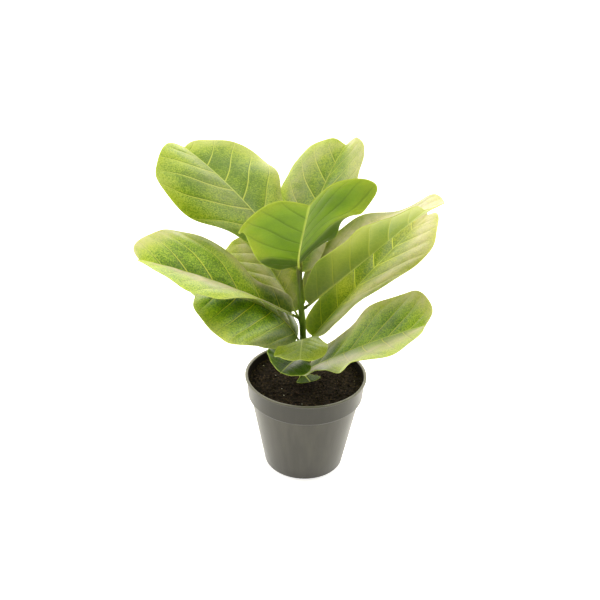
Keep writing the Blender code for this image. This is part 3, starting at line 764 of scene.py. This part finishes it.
def grow_rib(name, leaf):
    """The stalk and the midrib: a rod that tapers from the stem to the notch at the tip."""
    total = leaf.stalk + leaf.length * NOTCH
    along = np.linspace(ROD_START, total, ROD_RINGS)
    past_joint = np.clip(along, 0, None)
    spot, right, up = midrib_frame(leaf, past_joint * MM)
    facing = math.radians(leaf.heading)
    spot = spot + np.minimum(along, 0)[:, None] * MM * np.array([math.cos(facing), math.sin(facing), 0])
    share = np.clip((along - leaf.stalk) / (leaf.length * NOTCH), 0, 1)
    roll = blend(leaf.roll, share)[:, None]
    up = np.cos(roll) * up - np.sin(roll) * right
    size = min(1, ROD_LEAST + leaf.length / ROD_GROWTH)
    flare = 1 + JOINT_FLARE * np.exp(-(past_joint / JOINT_FLARE_REACH) ** 2)
    radius = size * STALK * (ROD_FOOT - ROD_TAPER * share ** ROD_TAPER_POWER) * flare
    sunk = np.where(along < leaf.stalk, SUNK_STALK, SUNK_MIDRIB) * radius
    spot = spot - up * sunk[:, None]
    curve = bpy.data.curves.new(name, "CURVE")
    curve.dimensions = "3D"
    curve.bevel_depth = 1.0
    curve.bevel_resolution = ROD_ROUNDNESS
    curve.use_fill_caps = True
    line = curve.splines.new("POLY")
    line.points.add(len(along) - 1)
    for point, centre, thick in zip(line.points, spot, radius):
        point.co = (*centre, 1)
        point.radius = thick
    rod = bpy.data.objects.new(name, curve)
    bpy.context.scene.collection.objects.link(rod)
    bpy.ops.object.select_all(action="DESELECT")
    rod.select_set(True)
    bpy.context.view_layer.objects.active = rod
    bpy.ops.object.convert(target="MESH")
    rod = bpy.context.object
    levels = rod.data.attributes.new("vein_map", "FLOAT_VECTOR", "POINT")
    placed = np.array([vertex.co for vertex in rod.data.vertices])
    nearest = np.linalg.norm(placed[:, None] - spot[None], axis=2).argmin(axis=1)
    climb = np.clip(along / total, 0, 1)[nearest]
    levels.data.foreach_set("vector", np.stack([climb, climb, climb], -1).ravel())
    rod.data.attributes.new("wax_bloom", "FLOAT", "POINT")
    bpy.ops.object.mode_set(mode="EDIT")
    bpy.ops.mesh.select_all(action="SELECT")
    bpy.ops.mesh.remove_doubles(threshold=ROD_WELD)
    bpy.ops.mesh.normals_make_consistent(inside=False)
    bpy.ops.object.mode_set(mode="OBJECT")
    return rod


def leaf_skin(name, deep, middle, light, vein, painted_shade, shine, under):
    """The waxed upper skin of a blade, or its paler and duller underside. Distances are in millimetres."""
    material = new_material(name)
    place = add_node(material, "TexCoord").outputs["Object"]
    chart = add_node(material, "SeparateXYZ", inputs={
        "Vector": add_node(material, "Attribute", {"attribute_name": "vein_map"}).outputs["Vector"]})
    number, from_rib, to_edge = chart.outputs["X"], chart.outputs["Y"], chart.outputs["Z"]

    # Colour: deeper along the midrib, lighter to the margin, in soft patches of 26 mm, with a grain of
    # 1.3 mm, which is coarser than the real skin's so that it shows.
    patches = add_node(material, "TexNoise", inputs={"Vector": place, "Scale": 38.0, "Detail": 3.0})
    inward = add_node(material, "MapRange", inputs={
        "Value": to_edge, "From Min": 0.0, "From Max": 26.0, "To Min": 0.30, "To Max": -0.12})
    grain = add_node(material, "TexNoise", inputs={
        "Vector": place, "Scale": 760.0, "Detail": 2.0, "Roughness": 0.6})
    grainy = add_node(material, "MapRange", inputs={
        "Value": grain.outputs["Fac"], "From Min": 0.3, "From Max": 0.7,
        "To Min": -0.04 if under else -0.32, "To Max": 0.04 if under else 0.32})
    soft = add_node(material, "MapRange", inputs={
        "Value": patches.outputs["Fac"], "To Min": 0.3 if under else 0.1, "To Max": 0.7 if under else 0.9})
    mixed = add_node(material, "Math", {"operation": "ADD"}, {
        0: soft.outputs["Result"], 1: inward.outputs["Result"]})
    mixed = add_node(material, "Math", {"operation": "ADD"}, {
        0: mixed.outputs["Value"], 1: grainy.outputs["Result"]})
    tint = add_node(material, "ValToRGB", {"stops": ((0.25, deep), (0.52, middle), (0.86, light))},
                    {"Fac": mixed.outputs["Value"]})

    # Painted shade: the lobes by the stalk, below the first side vein, are painted darker, as shade near the
    # stem.
    stalk_shade = add_node(material, "MapRange", {"interpolation_type": "SMOOTHSTEP"}, {
        "Value": number, "From Min": 0.45, "From Max": 1.25, "To Min": 0.85, "To Max": 0.0})
    tissue = add_node(material, "Mix", {"data_type": "RGBA"}, {
        "Factor": stalk_shade.outputs["Result"], "A": tint.outputs["Color"], "B": linear(painted_shade)})

    # Side veins: a thin pale line on each whole number, thinner towards the margin, with painted shade along
    # its lower side, where it lies in its furrow. Between them lies a faint net of small veins 5 mm apart.
    off = add_node(material, "Math", {"operation": "PINGPONG"}, {0: number, 1: 0.5})
    width = add_node(material, "MapRange", inputs={
        "Value": to_edge, "From Min": 0.0, "From Max": 30.0, "To Min": 0.006, "To Max": 0.026})
    line = add_node(material, "Math", {"operation": "DIVIDE"}, {
        0: off.outputs["Value"], 1: width.outputs["Result"]})
    side_vein = add_node(material, "MapRange", {"interpolation_type": "SMOOTHSTEP"}, {
        "Value": line.outputs["Value"], "From Min": 0.6, "From Max": 1.5,
        "To Min": 0.5 if under else 0.75, "To Max": 0.0})
    net = add_node(material, "TexVoronoi", {"feature": "DISTANCE_TO_EDGE"}, {"Vector": place, "Scale": 210.0})
    small_vein = add_node(material, "MapRange", {"interpolation_type": "SMOOTHSTEP"}, {
        "Value": net.outputs["Distance"], "From Min": 0.0, "From Max": 0.12, "To Min": 0.12, "To Max": 0.0})
    veins = add_node(material, "Math", {"operation": "MAXIMUM"}, {
        0: side_vein.outputs["Result"], 1: small_vein.outputs["Result"]})
    # Painted shade beside each side vein.
    downhill = add_node(material, "Math", {"operation": "SUBTRACT"}, {0: number, 1: 0.045})
    off = add_node(material, "Math", {"operation": "PINGPONG"}, {0: downhill.outputs["Value"], 1: 0.5})
    line = add_node(material, "Math", {"operation": "DIVIDE"}, {
        0: off.outputs["Value"], 1: width.outputs["Result"]})
    furrow_shade = add_node(material, "MapRange", {"interpolation_type": "SMOOTHSTEP"}, {
        "Value": line.outputs["Value"], "From Min": 0.4, "From Max": 2.6,
        "To Min": 0.3 if under else 0.65, "To Max": 0.0})
    furrow_shaded = add_node(material, "Mix", {"data_type": "RGBA"}, {
        "Factor": furrow_shade.outputs["Result"], "A": tissue.outputs["Result"], "B": linear(painted_shade)})
    veined = add_node(material, "Mix", {"data_type": "RGBA"}, {
        "Factor": veins.outputs["Value"], "A": furrow_shaded.outputs["Result"], "B": linear(vein)})

    # The thin margin and the tissue beside the midrib are pale.
    beside = add_node(material, "MapRange", {"interpolation_type": "SMOOTHSTEP"}, {
        "Value": from_rib, "From Min": 0.3, "From Max": 1.1, "To Min": 0.6, "To Max": 0.0})
    rim = add_node(material, "MapRange", {"interpolation_type": "SMOOTHSTEP"}, {
        "Value": to_edge, "From Min": 0.1, "From Max": 1.0, "To Min": 0.4, "To Max": 0.0})
    pale = add_node(material, "Math", {"operation": "MAXIMUM"}, {
        0: rim.outputs["Result"], 1: beside.outputs["Result"]})
    rimmed = add_node(material, "Mix", {"data_type": "RGBA"}, {
        "Factor": pale.outputs["Value"], "A": veined.outputs["Result"], "B": linear("#b9c954")})

    # Painted sheen: a beige, broken-up reflection painted into the colour where the blade rolls over.
    if under:
        surface = rimmed.outputs["Result"]
    else:
        sheen_breakup = add_node(material, "TexNoise", inputs={
            "Vector": place, "Scale": 95.0, "Detail": 5.0, "Distortion": 0.6})
        broken = add_node(material, "MapRange", inputs={
            "Value": sheen_breakup.outputs["Fac"], "From Min": 0.3, "From Max": 0.7, "To Min": 0.5, "To Max": 1.1})
        sheen_layer = add_node(material, "Attribute", {"attribute_name": "wax_bloom"})
        bloom = add_node(material, "Math", {"operation": "MULTIPLY", "use_clamp": True}, {
            0: sheen_layer.outputs["Fac"], 1: broken.outputs["Result"]})
        sheen_painted = add_node(material, "Mix", {"data_type": "RGBA"}, {
            "Factor": bloom.outputs["Value"], "A": rimmed.outputs["Result"], "B": linear("#cdc3a8")})
        surface = sheen_painted.outputs["Result"]

    # Relief too fine for the mesh: the vein network and the skin's grain.
    raised = add_node(material, "Math", {"operation": "MULTIPLY_ADD"}, {
        0: veins.outputs["Value"], 1: 1.0 if under else 0.55, 2: grainy.outputs["Result"]})
    bump = add_node(material, "Bump", inputs={
        "Strength": 0.35, "Distance": 0.5 * MM, "Height": raised.outputs["Value"]})
    dull = add_node(material, "MapRange", inputs={
        "Value": patches.outputs["Fac"], "From Min": 0.3, "From Max": 0.7,
        "To Min": 0.46 if under else 0.30, "To Max": 0.58 if under else 0.44})
    finish_material(material, {
        "Base Color": surface, "Roughness": dull.outputs["Result"], "IOR": 1.46,
        "Normal": bump.outputs["Normal"], "Subsurface Weight": 0.3, "Subsurface Scale": 0.003,
        "Subsurface Radius": (0.9, 1.0, 0.25), "Specular IOR Level": shine,
        "Coat Weight": 0.0 if under else 0.35 * shine, "Coat Roughness": 0.24,
        "Sheen Weight": 0.5 * shine, "Sheen Roughness": 0.35, "Sheen Tint": linear("#f4e6cf"),
    })
    return material


# The leaf's cuticle is wax over green tissue: semi-gloss, with light passing through the thin blade. Each
# tone gives the deep, middle and light tissue, the side veins, the painted shade of the lobes by the stalk
# and of the vein furrows, and the shine, first above and then below.
TONES = {
    "young": (("#567814", "#7d9a20", "#a8b838", "#c9d054", "#54741a", 0.25),
              ("#56780e", "#74921a", "#90a024", "#4c6410", "#284806", 0.18)),
    "mature": (("#4c7008", "#7ea314", "#b6c838", "#d6da48", "#3c5c0a", 0.45),
               ("#668222", "#869a36", "#a0b04c", "#56701c", "#56701c", 0.4)),
    "pale": (("#647e14", "#909e22", "#b6bc44", "#dcde50", "#66821c", 0.45),
             ("#7c9630", "#9cac44", "#b4bc5c", "#cccf50", "#7c9430", 0.45)),
    # Painted shade: the last two tones are darkened copies for leaves that lie in shadow.
    "shaded": (("#1a3005", "#2a450c", "#466019", "#6a7c30", "#152a05", 0.15),
               ("#2c4414", "#3a541c", "#4e6826", "#2c4010", "#283e12", 0.15)),
    "in_shadow": (("#284508", "#3f6212", "#5f7e22", "#8a9c3c", "#203c08", 0.2),
            ("#40601a", "#547426", "#6c8a34", "#3c5414", "#38541a", 0.25)),
}
SKINS = {}
for tone, (above, below) in TONES.items():
    SKINS[tone] = (leaf_skin("waxed_leaf_upper_" + tone, *above, under=False),
                   leaf_skin("leaf_underside_" + tone, *below, under=True))

# Midrib and stalk: pale yellow-green and smooth, darker and browner next to the stem, where shade is painted
# in.
rib_skin = new_material("pale_green_leaf_stalk")
climb = add_node(rib_skin, "SeparateXYZ", inputs={
    "Vector": add_node(rib_skin, "Attribute", {"attribute_name": "vein_map"}).outputs["Vector"]}).outputs["X"]
# Painted shade on the first stretch from the stem.
tint = add_node(rib_skin, "ValToRGB", {"stops": (
    (0.0, "#6b7f2a"), (0.05, "#93a63c"), (0.14, "#c3d05a"), (1.0, "#cddc6c"))}, {"Fac": climb})
fibre = add_node(rib_skin, "TexNoise", inputs={
    "Vector": add_node(rib_skin, "TexCoord").outputs["Object"], "Scale": 500.0, "Detail": 3.0})
tinted = add_node(rib_skin, "Mix", {"data_type": "RGBA", "blend_type": "OVERLAY"}, {
    "Factor": 0.35, "A": tint.outputs["Color"], "B": fibre.outputs["Fac"]})
finish_material(rib_skin, {
    "Base Color": tinted.outputs["Result"], "Roughness": 0.45, "IOR": 1.45, "Subsurface Weight": 0.3,
    "Subsurface Scale": 0.002, "Subsurface Radius": (0.9, 1.0, 0.3)})

for node, leaf in LEAVES.items():
    rod = grow_rib("rib", leaf)
    rod.data.materials.clear()
    rod.data.materials.append(rib_skin)
    blade = grow_blade("fig_" + node, leaf)
    for skin in SKINS[leaf.tone]:
        blade.data.materials.append(skin)
    bpy.ops.object.modifier_apply(modifier="thickness")
    blade.select_set(True)
    rod.select_set(True)
    bpy.ops.object.join()
    bpy.ops.object.shade_smooth_by_angle(angle=LEAF_CREASE)
    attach(blade, "root")
    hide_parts(node)
